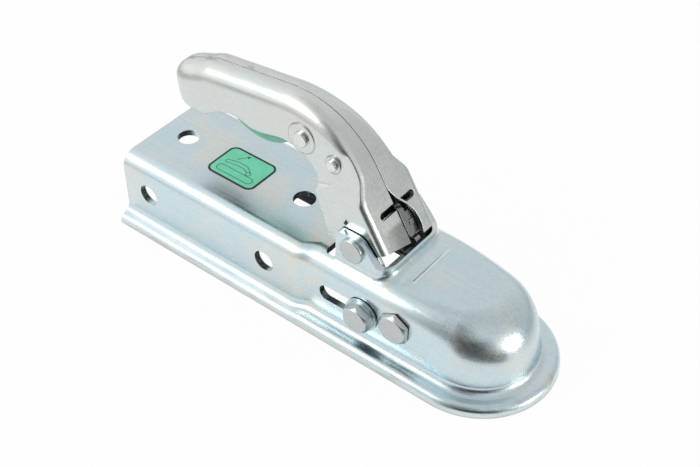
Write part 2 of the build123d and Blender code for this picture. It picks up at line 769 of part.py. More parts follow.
with BuildPart() as latch_lever:
    whole_path = [tail_end, (trigger_x, trigger_z), knee, hollow, plate_top, plate_foot, toe_tip]
    extrude(strip_outline(whole_path, latch_plate_inner, strip), amount=strip_outer - latch_plate_inner,
            dir=(0, 1, 0))
    shank_path = whole_path[:4] + [shank_end]
    extrude(strip_outline(shank_path, strip_inner, strip), amount=strip_outer - strip_inner, dir=(0, 1, 0))
    plate_path = [front_point(latch_plate_start + strip_bend, strip_depth), plate_foot]
    extrude(strip_outline(plate_path, latch_plate_inner, strip), amount=latch_plate_outer - latch_plate_inner,
            dir=(0, 1, 0))
    with BuildSketch(front_plane.offset(-shell - latch_gap)):
        with Locations((latch_boss_y, -latch_boss_drop)):
            Rectangle(latch_boss, latch_boss)
    extrude(amount=latch_boss_height)
    add(disc(trigger_x, trigger_z, -hub_half_width, hub_half_width, rivet_diameter))
    add(disc(trigger_x, trigger_z, -hub_half_width, hub_half_width, rivet_diameter / 2 + running_clearance),
        mode=Mode.SUBTRACT)
latch_lever.part.label = "latch_lever"
export_step(latch_lever.part, "parts/latch_lever.step")

# Trigger grip, moulded round the tail of the lever
with BuildPart() as trigger_grip:
    with BuildSketch(Plane.XZ):
        with BuildLine():
            grip_rear = (tail_end[0] - trigger_tail[0], tail_end[1] - trigger_tail[1])
            grip_front = (trigger_x - trigger_front[0], trigger_z - trigger_front[1])
            top_rear = (grip_rear[0], grip_rear[1] + trigger_tail_height)
            top_front = (grip_front[0], trigger_z + strip)
            ThreePointArc(grip_rear, (trigger_x - trigger_belly, trigger_z - trigger_drop), grip_front)
            Polyline(grip_front, top_front, top_rear, grip_rear)
        make_face()
    extrude(amount=trigger_half_width, both=True)
    extrude(strip_outline(whole_path[:2], strip_inner - strip_fit, strip + 2 * strip_fit),
            amount=hub_half_width * 2, dir=(0, 1, 0), mode=Mode.SUBTRACT)
trigger_grip.part.label = "trigger_grip"
export_step(trigger_grip.part, "parts/trigger_grip.step")


# Springs
def coil(radius, wire, turns, height, leg=()):
    """Helical spring about Z from the origin plane, with a bent leg from its upper end where one is given."""
    with BuildPart() as spring:
        with BuildLine() as turn_line:
            Helix(height / turns, height, radius)
        with BuildSketch(Plane(origin=turn_line.line @ 0, z_dir=turn_line.line % 0)):
            Circle(wire / 2)
        sweep(path=turn_line.line)
        if leg:
            with BuildLine() as leg_line:
                Polyline((radius, 0, height), *leg)
            with BuildSketch(Plane(origin=leg_line.line @ 0, z_dir=leg_line.line % 0)):
                Circle(wire / 2)
            sweep(path=leg_line.line, transition=Transition.ROUND)
            with Locations((radius, 0, height)):
                Sphere(wire / 2)
    return spring.part


handle_coil_height = handle_spring_turns * handle_spring_pitch
handle_coil_radius = bush_radius + handle_spring_gap + handle_spring_wire / 2
leg_points = [(spring_leg_drop, spring_leg_tip - spring_leg_reach, handle_coil_height),
              (spring_leg_drop, -spring_leg_reach, handle_coil_height),
              (spring_leg_drop, -spring_leg_reach, handle_coil_height + spring_bar_length)]
coil_start = handle_spring_end - handle_coil_height
coil_place = Plane(origin=(pivot_x, coil_start, pivot_z), x_dir=(0, 0, -1), z_dir=(0, 1, 0))
with BuildPart() as handle_spring:
    add(coil(handle_coil_radius, handle_spring_wire, handle_spring_turns, handle_coil_height, leg_points)
        .moved(coil_place.location))
handle_spring.part.label = "handle_spring"
export_step(handle_spring.part, "parts/handle_spring.step")

seat_share = (trigger_x - trigger_spring_back - top_rear[0]) / (top_front[0] - top_rear[0])
spring_foot_z = mix(top_rear[1], top_front[1], seat_share) + trigger_spring_wire
spring_foot_x = trigger_x - trigger_spring_back
ceiling_z = elbow_z + elbow_outer_radius / cos(rise) + (spring_foot_x - elbow_x) * tan(rise) - shell / cos(rise)
trigger_place = Plane(origin=(spring_foot_x, 0, spring_foot_z), x_dir=(cos(rise), 0, sin(rise)),
                      z_dir=(-sin(rise), 0, cos(rise)))
with BuildPart() as trigger_spring:
    add(coil(trigger_spring_radius, trigger_spring_wire, trigger_spring_turns,
             ceiling_z - spring_foot_z - trigger_spring_wire).moved(trigger_place.location))
trigger_spring.part.label = "trigger_spring"
export_step(trigger_spring.part, "parts/trigger_spring.step")
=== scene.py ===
# %% [markdown]
# # A trailer coupling head in a white studio
# This part bolts to the end of a trailer's drawbar and drops over the tow ball of a car. It is
# pressed from 4 mm sheet and plated with bright zinc. Nearly all of its shapes come from the solid
# model, so this lesson is about finishes: how plated sheet, plated bolts, spring wire and moulded
# plastic are told apart in Blender, how a printed label is laid on a panel, and how metal is lit so
# that its bends can be read.

# %% Open the frame
import json
import math

import bmesh
import bpy
from mathutils import Matrix, Vector


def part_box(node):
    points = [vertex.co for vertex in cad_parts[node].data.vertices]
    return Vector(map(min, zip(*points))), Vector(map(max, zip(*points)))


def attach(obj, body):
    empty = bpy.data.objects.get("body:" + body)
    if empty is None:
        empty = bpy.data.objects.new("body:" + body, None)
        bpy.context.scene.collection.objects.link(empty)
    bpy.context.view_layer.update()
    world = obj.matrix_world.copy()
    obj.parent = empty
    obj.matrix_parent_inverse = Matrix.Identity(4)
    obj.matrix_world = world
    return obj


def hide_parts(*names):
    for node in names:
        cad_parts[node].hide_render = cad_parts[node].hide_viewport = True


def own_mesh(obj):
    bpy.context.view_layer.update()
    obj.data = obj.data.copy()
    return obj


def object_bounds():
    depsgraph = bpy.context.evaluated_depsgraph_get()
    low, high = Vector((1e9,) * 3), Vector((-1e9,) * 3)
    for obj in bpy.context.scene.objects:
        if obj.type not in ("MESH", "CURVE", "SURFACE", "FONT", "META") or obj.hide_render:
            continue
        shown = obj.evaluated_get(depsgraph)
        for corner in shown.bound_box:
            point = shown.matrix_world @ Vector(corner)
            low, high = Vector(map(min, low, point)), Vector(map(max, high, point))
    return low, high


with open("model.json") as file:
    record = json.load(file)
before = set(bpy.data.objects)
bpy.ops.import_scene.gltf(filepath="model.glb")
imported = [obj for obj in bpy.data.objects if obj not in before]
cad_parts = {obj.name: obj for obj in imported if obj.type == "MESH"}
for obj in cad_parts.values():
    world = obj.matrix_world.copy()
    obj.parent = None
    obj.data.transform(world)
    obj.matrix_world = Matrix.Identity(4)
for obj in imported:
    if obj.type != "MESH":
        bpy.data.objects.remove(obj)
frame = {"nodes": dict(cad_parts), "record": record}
cad_low, cad_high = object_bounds()
millimetre = 0.001
cad_size = (cad_high - cad_low) / millimetre
print("solids:", len(frame["nodes"]), "box in mm:", [round(side, 1) for side in cad_size])

# %% [markdown]
# ## The camera
# The photograph looks down on the near side of the nose from about 43 degrees up. A camera can be
# turned with a Track To constraint, but a rotation matrix built from three directions says the same
# with no constraint left in the file: right, up, and back from the part to the camera. The lens is a
# mild telephoto, so the drawbar end is only a little smaller than the nose.

# %% Place the camera
look_azimuth = math.radians(38.47)
look_elevation = math.radians(42.58)
camera_place = Vector((0.2458, -0.4213, 0.5158))

view_right = Vector((math.cos(look_azimuth), math.sin(look_azimuth), 0))
view_back = Vector((
    math.sin(look_azimuth) * math.cos(look_elevation),
    -math.cos(look_azimuth) * math.cos(look_elevation),
    math.sin(look_elevation),
))
view_up = view_back.cross(view_right)

camera_data = bpy.data.cameras.new("studio_camera")
camera_data.sensor_fit = "HORIZONTAL"
camera_data.sensor_width = 36
camera_data.lens = 67.47
camera_data.clip_start = 0.01
camera = bpy.data.objects.new("studio_camera", camera_data)
turn = Matrix((view_right, view_up, view_back)).transposed().to_4x4()
camera.matrix_world = Matrix.Translation(camera_place) @ turn
bpy.context.scene.collection.objects.link(camera)
bpy.context.scene.camera = camera
bpy.context.scene.view_settings.view_transform = "Standard"
part_middle = (cad_low + cad_high) / 2
print("camera", round((camera_place - part_middle).length, 3), "m from the part's middle")

# %% [markdown]
# ## Small tools for nodes
# Blender's materials are trees of nodes. They can be wired by hand in the Shader Editor, but a script
# repeats the same few moves: add a node, fill its inputs, do some arithmetic, or let a factor run
# smoothly from one value to another. A short function for each keeps the recipes below readable.

# %% Make the node helpers
def new_material(name):
    """An empty node tree, ready for nodes."""
    material = bpy.data.materials.new(name)
    material.use_nodes = True
    material.node_tree.nodes.clear()
    return material


def put(tree, value, socket):
    """Links a socket to another, or sets it to a constant."""
    if isinstance(value, bpy.types.NodeSocket):
        tree.links.new(value, socket)
    else:
        socket.default_value = value


def add_node(tree, kind, **inputs):
    """Adds a node and fills its named inputs."""
    node = tree.nodes.new(kind)
    for socket_name, value in inputs.items():
        put(tree, value, node.inputs[socket_name.replace("_", " ")])
    return node


def calculate(tree, operation, first, second=0.0):
    """One step of arithmetic on two numbers."""
    node = tree.nodes.new("ShaderNodeMath")
    node.operation = operation
    put(tree, first, node.inputs[0])
    put(tree, second, node.inputs[1])
    return node.outputs[0]


def vector_step(tree, operation, *vectors):
    """One step of arithmetic on vectors."""
    node = tree.nodes.new("ShaderNodeVectorMath")
    node.operation = operation
    for vector, socket in zip(vectors, node.inputs):
        put(tree, vector, socket)
    return node


def dot_with(tree, vector, towards):
    """How far a vector reaches in a direction."""
    return vector_step(tree, "DOT_PRODUCT", vector, towards).outputs["Value"]


def spread(tree, value, start, end, low=0.0, high=1.0):
    """Maps a value smoothly from low at start to high at end."""
    node = add_node(tree, "ShaderNodeMapRange", Value=value)
    node.interpolation_type = "SMOOTHSTEP"
    limits = (("From Min", start), ("From Max", end), ("To Min", low), ("To Max", high))
    for name, number in limits:
        node.inputs[name].default_value = number
    return node.outputs[0]


def overlap(tree, *factors):
    """Product of several factors between 0 and 1."""
    total = factors[0]
    for factor in factors[1:]:
        total = calculate(tree, "MULTIPLY", total, factor)
    return total


def either(tree, factor, first, second):
    """Mixes two shaders."""
    node = add_node(tree, "ShaderNodeMixShader", Fac=factor)
    tree.links.new(first.outputs[0], node.inputs[1])
    tree.links.new(second.outputs[0], node.inputs[2])
    return node


print("node helpers ready")

# %% [markdown]
# ## The floor
# The part stands on white paper. A plain white surface would render as a light grey, because the
# light is set for the metal. So the paper is a mix of shaders. Rays from the camera see nearly plain
# white with a share of real diffuse paper, which keeps a soft contact shadow. Rays from a reflection
# see a white sheet too, but a dim one where the part stands over it, because the inside of the channel
# would otherwise glow. The sheet also darkens in a wedge towards the camera, which starts a little
# way out from the flange, and it fades past the nose and behind the drawbar, as real paper ends.
# Without those ends every low bend would mirror the same white, and its shape would be lost.

# %% Find where the mirrored sheet ends
camera_side = (0.67, -0.74, 0)
across_wedge = (0.74, 0.67, 0)
wedge_blur = 0.04
flange_edge, wedge_full = 0.078, 0.12
wedge_glow = 0.15
# For each end: its direction, where the fade starts and stops in metres, and the glow that is left.
faded_ends = {
    "past the nose": ((0.75, 0.66, 0), 0.03, 0.25, 0.50),
    "behind the drawbar": ((-0.95, -0.30, 0), 0.33, 0.50, 0.60),
}

floor_material = new_material("white_paper")
tree = floor_material.node_tree
place = add_node(tree, "ShaderNodeNewGeometry").outputs["Position"]
towards = dot_with(tree, place, camera_side)
aside = calculate(tree, "ABSOLUTE", dot_with(tree, place, across_wedge))
in_wedge = spread(tree, calculate(tree, "SUBTRACT", towards, aside), 0.0, wedge_blur)
from_ball = vector_step(tree, "LENGTH", place).outputs["Value"]
past_flange = spread(tree, from_ball, flange_edge, wedge_full)
sheet_end = spread(tree, overlap(tree, in_wedge, past_flange), 0.0, 1.0, 1.0, wedge_glow)
for direction, start, stop, left in faded_ends.values():
    fade = spread(tree, dot_with(tree, place, direction), start, stop, 1.0, left)
    sheet_end = overlap(tree, sheet_end, fade)
print("the sheet fades towards the camera,", ", ".join(faded_ends))

# %% Mix the paper and lay the floor
paper_grey = (0.86, 0.86, 0.86, 1)
plain_white = (1, 1, 1, 1)
white_share = 0.96
cover_reach = 0.07
floor_half_width = 6

path = add_node(tree, "ShaderNodeLightPath")
mirrored = calculate(
    tree, "MAXIMUM", path.outputs["Is Glossy Ray"], path.outputs["Is Transmission Ray"]
)
openness = add_node(tree, "ShaderNodeAmbientOcclusion", Distance=cover_reach)
openness.samples = 8
glow = overlap(tree, spread(tree, openness.outputs["AO"], 0.15, 0.75), sheet_end)
paper = add_node(tree, "ShaderNodeBsdfDiffuse", Color=paper_grey)
mirrored_sheet = add_node(tree, "ShaderNodeEmission", Color=plain_white, Strength=glow)
white = add_node(tree, "ShaderNodeEmission", Color=plain_white, Strength=1.0)
lit = either(tree, mirrored, paper, mirrored_sheet)
seen = calculate(tree, "MULTIPLY", path.outputs["Is Camera Ray"], white_share)
add_node(tree, "ShaderNodeOutputMaterial", Surface=either(tree, seen, lit, white).outputs[0])

floor_mesh = bpy.data.meshes.new("studio_floor")
floor_sheet = bmesh.new()
bmesh.ops.create_grid(floor_sheet, x_segments=1, y_segments=1, size=floor_half_width)
floor_sheet.to_mesh(floor_mesh)
floor_sheet.free()
floor = bpy.data.objects.new("studio_floor", floor_mesh)
floor.location.z = cad_low.z
floor_mesh.materials.append(floor_material)
bpy.context.scene.collection.objects.link(floor)
print("floor at", round(cad_low.z / millimetre, 2), "mm")

# %% [markdown]
# ## The room
# Metal shows what stands round it, so an even sky would make every bend the same grey. Here the room
# is graded by compass direction: a bright wall behind the drawbar, a dark gap where the camera stands,
# a bright wall past the nose, and grey on the far side. Higher up the gap is narrower and paler, and
# overhead it is an even grey. Real panels and black cards round the part would do the same, but a
# graded world needs no objects, and each direction can be set by one number.

# %% Make the colour helpers
def ramp(tree, factor, stops, blend="EASE"):
    """A colour ramp over grey levels or colours, given as (place, colour) pairs."""
    node = add_node(tree, "ShaderNodeValToRGB", Fac=factor)
    band = node.color_ramp
    band.interpolation = blend
    while len(band.elements) < len(stops):
        band.elements.new(1)
    for element, (place, colour) in zip(band.elements, stops):
        element.position = place
        shade = (colour,) * 3 if isinstance(colour, (int, float)) else colour
        element.color = (*shade, 1)
    return node.outputs["Color"]


def mixed(tree, factor, first, second, how="MIX"):
    """Two colours mixed by a factor. Each is a socket or a colour."""
    node = tree.nodes.new("ShaderNodeMix")
    node.data_type = "RGBA"
    node.blend_type = how
    put(tree, factor, node.inputs[0])
    for socket, value in ((node.inputs[6], first), (node.inputs[7], second)):
        put(tree, value if isinstance(value, bpy.types.NodeSocket) else (*value, 1), socket)
    return node.outputs[2]


def compass(degrees):
    """Place of a compass direction on a ramp: 0.5 is straight ahead of the nose."""
    return degrees / 360 + 0.5


print("colour helpers ready")

# %% Grade the room
# Each pair is a compass direction in degrees (0 ahead of the nose, -90 on the near side) and a level.
wall_levels = [
    (-180, 1.05), (-140, 1.15), (-118, 1.05), (-102, 0.62), (-90, 0.20), (-76, 0.07),
    (-58, 0.06), (-38, 0.08), (-22, 0.50), (-8, 1.0), (10, 0.98), (32, 0.60),
    (60, 0.66), (92, 0.82), (130, 0.80), (158, 0.95), (180, 1.05),
]
upper_levels = [
    (-180, 1.05), (-140, 1.15), (-118, 1.05), (-102, 0.66), (-88, 0.30), (-70, 0.24),
    (-50, 0.62), (-30, 0.84), (10, 0.70), (60, 0.66), (92, 0.82), (130, 0.80),
    (158, 0.95), (180, 1.05),
]
overhead_grey = (0.66, 0.66, 0.66)

room = bpy.data.worlds.new("studio_room")
bpy.context.scene.world = room
room.use_nodes = True
tree = room.node_tree
tree.nodes.clear()
direction = add_node(tree, "ShaderNodeTexCoord").outputs["Generated"]
split = add_node(tree, "ShaderNodeSeparateXYZ", Vector=direction)
heading = calculate(tree, "ARCTAN2", split.outputs["Y"], split.outputs["X"])
heading = calculate(tree, "MULTIPLY_ADD", heading, 1 / math.tau)
heading.node.inputs[2].default_value = 0.5
lower, upper = (
    ramp(tree, heading, [(compass(degrees), level) for degrees, level in levels], "LINEAR")
    for levels in (wall_levels, upper_levels)
)
walls = mixed(tree, spread(tree, split.outputs["Z"], 0.42, 0.66), lower, upper)
graded = mixed(tree, spread(tree, split.outputs["Z"], 0.80, 1.0), walls, overhead_grey)
to_camera = add_node(tree, "ShaderNodeLightPath").outputs["Is Camera Ray"]
backdrop = mixed(tree, to_camera, graded, (1, 1, 1))
background = add_node(tree, "ShaderNodeBackground", Color=backdrop, Strength=1.0)
add_node(tree, "ShaderNodeOutputWorld", Surface=background.outputs[0])
print("room levels:", len(wall_levels), "low and", len(upper_levels), "high")

# %% [markdown]
# ## The lamps
# Two soft lamps draw the bright lines. A wide one stands over the bright wall behind the near side, for
# the long bends, and a low one stands ahead of the nose. Sun or point lamps would leave hard spots on
# metal, so both are area lamps, which show as soft rectangles.

# %% Stand the lamps
lamp_aim = Vector((-0.06, 0, 0.02))


def soft_lamp(name, heading, height, distance, width, tall, power):
    """A rectangular lamp at a compass heading and height, in degrees, that faces the part."""
    data = bpy.data.lights.new(name, "AREA")
    data.shape = "RECTANGLE"
    data.size = width
    data.size_y = tall
    data.energy = power
    lamp = bpy.data.objects.new(name, data)
    level = math.cos(math.radians(height))
    away = Vector((
        level * math.cos(math.radians(heading)),
        level * math.sin(math.radians(heading)),
        math.sin(math.radians(height)),
    ))
    lamp.location = lamp_aim + away * distance
    lamp.rotation_euler = away.to_track_quat("Z", "Y").to_euler()
    lamp.visible_camera = False
    bpy.context.scene.collection.objects.link(lamp)
    return lamp


lamps = [
    soft_lamp("bend_lamp", -130, 38, 1.0, 0.45, 0.30, 1.9),
    soft_lamp("nose_lamp", 11, 4, 0.9, 0.34, 0.32, 1.6),
]
print("lamps:", ", ".join(lamp.name for lamp in lamps))

# %% [markdown]
# ## How plated steel is drawn
# Zinc plate is a metal, so nearly all of its look is reflection: a cool grey reflectance and a medium
# roughness. Four things break it up. Drawing the sheet leaves streaks along its length, the plating
# dries in cloudy patches with a straw tint, the skin has a fine grain, and cut edges are lighter,
# partly bare steel and partly a painted highlight. The first three are noise textures, each at its own
# scale in millimetres, and they feed colour, roughness or bump. A Bevel node rounds the sharp model
# edges by a fraction of a millimetre. Where that rounding turns the normal, there is an edge, so the
# same node also tells where the edge colour is painted lighter.

# %% Make the texture helpers
def part_coordinates(tree, stretch=(1, 1, 1)):
    """The point on the part, in millimetres, stretched along its own axes."""
    place = add_node(tree, "ShaderNodeTexCoord").outputs["Object"]
    mapping = add_node(tree, "ShaderNodeMapping", Vector=place)
    mapping.inputs["Scale"].default_value = [side / millimetre for side in stretch]
    return mapping.outputs[0]


def clouds(tree, size, detail=2.0, stretch=(1, 1, 1), roughness=0.5):
    """Noise whose patches are about this many millimetres across."""
    node = add_node(tree, "ShaderNodeTexNoise", Vector=part_coordinates(tree, stretch))
    for name, number in (("Scale", 1 / size), ("Detail", detail), ("Roughness", roughness)):
        node.inputs[name].default_value = number
    return node.outputs["Fac"]


def bump(tree, heights, depth, under=None):
    """Bumps the surface by a texture. Depth is in millimetres."""
    node = add_node(tree, "ShaderNodeBump", Height=heights, Strength=1.0, Distance=depth * millimetre)
    if under is not None:
        tree.links.new(under, node.inputs["Normal"])
    return node.outputs[0]


def rounded_edges(tree, radius):
    """Normal with rounded edges, and a factor that is 1 on the edges."""
    rounded = add_node(tree, "ShaderNodeBevel", Radius=radius * millimetre)
    rounded.samples = 6
    flat = add_node(tree, "ShaderNodeNewGeometry").outputs["Normal"]
    likeness = dot_with(tree, rounded.outputs[0], flat)
    return rounded.outputs[0], spread(tree, likeness, 0.995, 0.90)


def hollows(tree, reach, deep, open_air):
    """1 in the open and near 0 deep inside, where little light gets in: the mask for painted shade."""
    occlusion = add_node(tree, "ShaderNodeAmbientOcclusion", Distance=reach * millimetre)
    occlusion.samples = 8
    return spread(tree, occlusion.outputs["AO"], deep, open_air)


print("texture helpers ready")

# %% [markdown]
# ## The zinc finishes
# All plated pieces share one recipe, with their own colour, gloss and grain. What belongs to one piece
# alone, such as the stretched skin of the nose or scuffs on the handle, is handed to the recipe as a
# small function that works on the colour and the normal before the shader takes them. Last, hollows get
# painted shade: their colour is darkened, because little light gets into a narrow gap. An Ambient
# Occlusion node finds them, so no mask has to be painted.

# %% Make the zinc recipe
edge_wear_and_highlight = (0.86, 0.85, 0.80)
painted_hollow_shade = (0.030, 0.033, 0.033)
hollow_reach = 30


def zinc_plate(name, colour, warm, rough, grain, streak=(0.02, 1, 1), edge=0.35,
               own_marks=None, shadow=(0.05, 0.40)):
    """Plated steel with streaks, cloudy patches, straw tint, a fine grain and bright edges."""
    material = new_material(name)
    tree = material.node_tree
    patches = clouds(tree, 26, 3.0)
    streaks = clouds(tree, 1.6, 3.0, streak)
    mottle = clouds(tree, 3.2, 4.0, roughness=0.7)
    fine = clouds(tree, 0.6, 2.0)

    shade = mixed(tree, spread(tree, patches, 0.45, 0.75), colour, warm)
    shade = mixed(tree, 1.0, shade, ramp(tree, mottle, [(0.30, 0.955), (0.70, 1.0)]), "MULTIPLY")
    shade = mixed(tree, 1.0, shade, ramp(tree, streaks, [(0.30, 0.96), (0.60, 1.0)]), "MULTIPLY")
    gloss = calculate(tree, "ADD", spread(tree, patches, 0.3, 0.7, rough, rough + 0.08),
                      spread(tree, streaks, 0.3, 0.7, -0.03, 0.04))

    skin, on_edge = rounded_edges(tree, edge)
    # painted highlight, partly bare steel: edges are mixed towards a light colour
    shade = mixed(tree, calculate(tree, "MULTIPLY", on_edge, 0.5), shade, edge_wear_and_highlight)
    skin = bump(tree, fine, grain, skin)
    skin = bump(tree, streaks, grain * 0.6, skin)
    if own_marks:
        shade, skin = own_marks(tree, shade, skin)
    # painted shade: hollows are darkened towards a near black
    shade = mixed(tree, hollows(tree, hollow_reach, *shadow), painted_hollow_shade, shade)

    surface = add_node(
        tree, "ShaderNodeBsdfPrincipled", Base_Color=shade, Roughness=gloss, Normal=skin
    )
    surface.inputs["Metallic"].default_value = 1.0
    add_node(tree, "ShaderNodeOutputMaterial", Surface=surface.outputs[0])
    return material


print("zinc recipe ready")

# %% [markdown]
# ## Marks on the pressed body
# The press stretches the sheet most over the nose, and stretched steel gets a coarse skin like orange
# peel, so a second grain fades in there. The rim round the foot was cut with a blade and not polished:
# it is a little yellow, with grey drag marks. Fluid from the plating bath dried straw-coloured round
# the waist, where the channel narrows. The step at the waist is gentler to the eye than in the solid,
# so its normals are eased along the length. Each mark is kept in its place by the part's own X, Y and
# Z in millimetres. A painted mask would do the same, but it would need an image.

# %% Make the helpers for marks
def parts_of(tree, vector):
    """The X, Y and Z of a vector."""
    split = add_node(tree, "ShaderNodeSeparateXYZ", Vector=vector)
    return [split.outputs[axis] for axis in "XYZ"]


def apart(tree, value, centre):
    """How far a value is from a centre, on either side."""
    return calculate(tree, "ABSOLUTE", calculate(tree, "SUBTRACT", value, centre))


def eased(tree, skin, keep_x, keep_z):
    """The normal with less slope along X or Z."""
    keep = add_node(tree, "ShaderNodeCombineXYZ", X=keep_x, Y=1.0, Z=keep_z)
    scaled = vector_step(tree, "MULTIPLY", skin, keep.outputs[0])
    return vector_step(tree, "NORMALIZE", scaled.outputs[0]).outputs[0]


print("helpers for marks ready")

# %% Finish the pressed body
peel_shade = (0.42, 0.46, 0.47)
drag_grey = (0.36, 0.41, 0.42)
cut_yellow = (0.74, 0.71, 0.60)
bath_straw = (0.76, 0.72, 0.62)
waist_step = -95.5


def body_marks(tree, shade, skin):
    """Orange peel on the nose, drag marks on the rim, straw tint and an eased step at the waist."""
    x, _, z = parts_of(tree, part_coordinates(tree))
    dome = overlap(tree, spread(tree, x, -28, 6), spread(tree, z, 2, 16))
    peel = clouds(tree, 0.9, 3.0, roughness=0.65)
    skin = bump(tree, overlap(tree, peel, dome), 0.075, skin)
    pits = overlap(tree, dome, spread(tree, peel, 0.55, 0.35), 0.25)
    shade = mixed(tree, pits, shade, peel_shade)

    drag = clouds(tree, 5.0, 3.0, (0.25, 1, 2))
    dragged = overlap(tree, spread(tree, z, -10.5, -13.5), spread(tree, drag, 0.50, 0.66), 0.45)
    shade = mixed(tree, dragged, shade, drag_grey)
    shade = mixed(tree, overlap(tree, spread(tree, z, -14.5, -16.5), 0.45), shade, cut_yellow)

    waist = overlap(tree, spread(tree, x, -122, -98), spread(tree, x, -70, -92))
    dried = overlap(tree, waist, spread(tree, clouds(tree, 8.0, 3.0), 0.40, 0.62), 0.55)
    shade = mixed(tree, dried, shade, bath_straw)

    keep_x = spread(tree, apart(tree, x, waist_step), 4, 10, 0.35, 1.0)
    return shade, eased(tree, skin, keep_x, 1.0)


zinc_sheet = zinc_plate(
    "zinc_sheet", (0.63, 0.76, 0.805), (0.74, 0.77, 0.74), 0.22, 0.004,
    own_marks=body_marks, shadow=(0.02, 0.22),
)
print("finish:", zinc_sheet.name)

# %% [markdown]
# ## Marks on the handle
# Hands, gloves and other couplings in the crate rub the top of the grip along its seam. That leaves
# dark scuffs, which are patches of stretched noise kept near the seam. A ring of painted shade lies in
# the groove round each rivet's pressed pad, and a darker strip under the cross slot is a painted dark
# reflection. The shells get painted shade inside: a face inside looks back to the seam, so the side it
# stands on and the side it looks to tell it from an outer one. Only the cut edge of the latch window
# keeps its own colour. Where the elbow meets the neck, the side wall is smooth to the eye, so its
# normals are eased there.

# %% Make the handle's marks
scuff_grey = (0.20, 0.21, 0.20)
pad_groove_shade = (0.26, 0.28, 0.27)
dark_reflection_grey = (0.24, 0.26, 0.26)
inner_painted_shade = (0.03, 0.035, 0.033)
pad_radii = {"trigger_rivet": 9.0, "shell_rivet": 5.0}
groove_offset = 0.15
along_shoulder = (-0.552, 0, 0.834)
shoulder_place = 106.5


def pad_grooves(tree, shade, x, z):
    """Painted shade in a ring round the pad of each rivet."""
    for rivet, pad_radius in pad_radii.items():
        low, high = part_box(rivet)
        middle = (low + high) / 2 / millimetre
        sides = [calculate(tree, "SUBTRACT", *pair) for pair in ((x, middle.x), (z, middle.z))]
        squares = [calculate(tree, "MULTIPLY", side, side) for side in sides]
        radius = calculate(tree, "SQRT", calculate(tree, "ADD", *squares))
        from_groove = apart(tree, radius, pad_radius + groove_offset)
        # painted shade: a dark ring round each rivet's pad
        shade = mixed(tree, spread(tree, from_groove, 0.8, 0.1, 0.0, 0.5), shade, pad_groove_shade)
    return shade


def handle_marks(tree, shade, skin):
    """Scuffs, painted shade in the pad grooves and insides, a painted dark reflection and an eased
    shoulder.
    """
    place = part_coordinates(tree)
    x, y, z = parts_of(tree, place)
    face_x, face_y, _ = parts_of(tree, add_node(tree, "ShaderNodeNewGeometry").outputs["Normal"])
    from_seam = calculate(tree, "ABSOLUTE", y)

    on_grip = overlap(tree, spread(tree, x, -212, -200), spread(tree, x, -132, -150),
                      spread(tree, z, 84, 90))
    rub = clouds(tree, 5.0, 5.0, (0.35, 1, 1), roughness=0.7)
    scuff = overlap(tree, spread(tree, from_seam, 6.5, 2.5), on_grip, spread(tree, rub, 0.54, 0.66))
    shade = mixed(tree, calculate(tree, "MULTIPLY", scuff, 0.55), shade, scuff_grey)
    shade = pad_grooves(tree, shade, x, z)

    # painted dark reflection: front faces under the cross slot are darkened
    painted_dark_reflection = overlap(tree, spread(tree, z, 52, 49), spread(tree, y, -20, -4), spread(tree, y, 9, 6),
                     spread(tree, face_x, 0.6, 0.8))
    shade = mixed(tree, calculate(tree, "MULTIPLY", painted_dark_reflection, 0.75), shade, dark_reflection_grey)

    outwards = calculate(tree, "MULTIPLY", calculate(tree, "SIGN", y), face_y)
    beside_window = overlap(tree, spread(tree, z, 56, 53), spread(tree, from_seam, 13, 11))
    inside = overlap(tree, spread(tree, outwards, -0.1, -0.35),
                     spread(tree, beside_window, 0, 1, 0.85, 0.0))
    # painted shade on the inner faces of the shells
    shade = mixed(tree, inside, shade, inner_painted_shade)

    from_bend = apart(tree, dot_with(tree, place, along_shoulder), shoulder_place)
    sideways = calculate(tree, "ABSOLUTE", face_y)
    shoulder = overlap(tree, spread(tree, from_bend, 18, 8), spread(tree, sideways, 0.55, 0.72),
                       spread(tree, x, -112, -100))
    keep = spread(tree, shoulder, 0, 1, 1.0, 0.22)
    return shade, eased(tree, skin, keep, keep)


print("grooves round the pads of", ", ".join(pad_radii))

# %% [markdown]
# The handle's edges are rounded a little wider than the body's, because each of its cut edges shows
# as a thin bright line, partly a painted highlight. The latch lever and the bush and spacer between the
# shells get a darker plate of their own, which is painted shade: they stand in the shade of the shells,
# and the latch window shows them.

# %% Finish the handle
zinc_handle = zinc_plate(
    "zinc_handle", (0.68, 0.73, 0.71), (0.74, 0.74, 0.69), 0.23, 0.0025,
    edge=0.7, own_marks=handle_marks, shadow=(0.05, 0.28),
)
# painted shade: a darker copy of the handle's plate for the pieces inside
zinc_lever_painted_shade = zinc_plate(
    "zinc_lever_painted_shade", (0.30, 0.32, 0.315), (0.36, 0.37, 0.36), 0.20, 0.002, shadow=(0.12, 0.52)
)
print("finishes:", zinc_handle.name, zinc_lever_painted_shade.name)

# %% [markdown]
# ## Bolts, rivets, springs and forged pieces
# The end of a bolt's head is dull and slightly lilac, while its flanks shine like the sheet, so the
# finish asks which way a face looks. Two materials on one bolt would need its faces sorted by hand.
# Rivets and washers are brighter, spring wire is drawn bright, and the ball clamp is a forging with a
# rough skin. None of them is drawn from sheet, so their streaks are as wide as they are long.

# %% Finish the bolts, rivets, springs and forged pieces
no_streak = (1, 1, 1)
dull_end = (0.52, 0.55, 0.56)
dull_ring = (0.57, 0.595, 0.60)


def bolt_marks(tree, shade, skin):
    """Dull lilac ends on heads that shine round their sides."""
    _, face_y, _ = parts_of(tree, add_node(tree, "ShaderNodeNewGeometry").outputs["Normal"])
    sideways = calculate(tree, "ABSOLUTE", face_y)
    rings = clouds(tree, 2.0, 4.0, roughness=0.7)
    dull = mixed(tree, spread(tree, rings, 0.35, 0.65), dull_end, dull_ring)
    return mixed(tree, spread(tree, sideways, 0.95, 0.99), shade, dull), skin


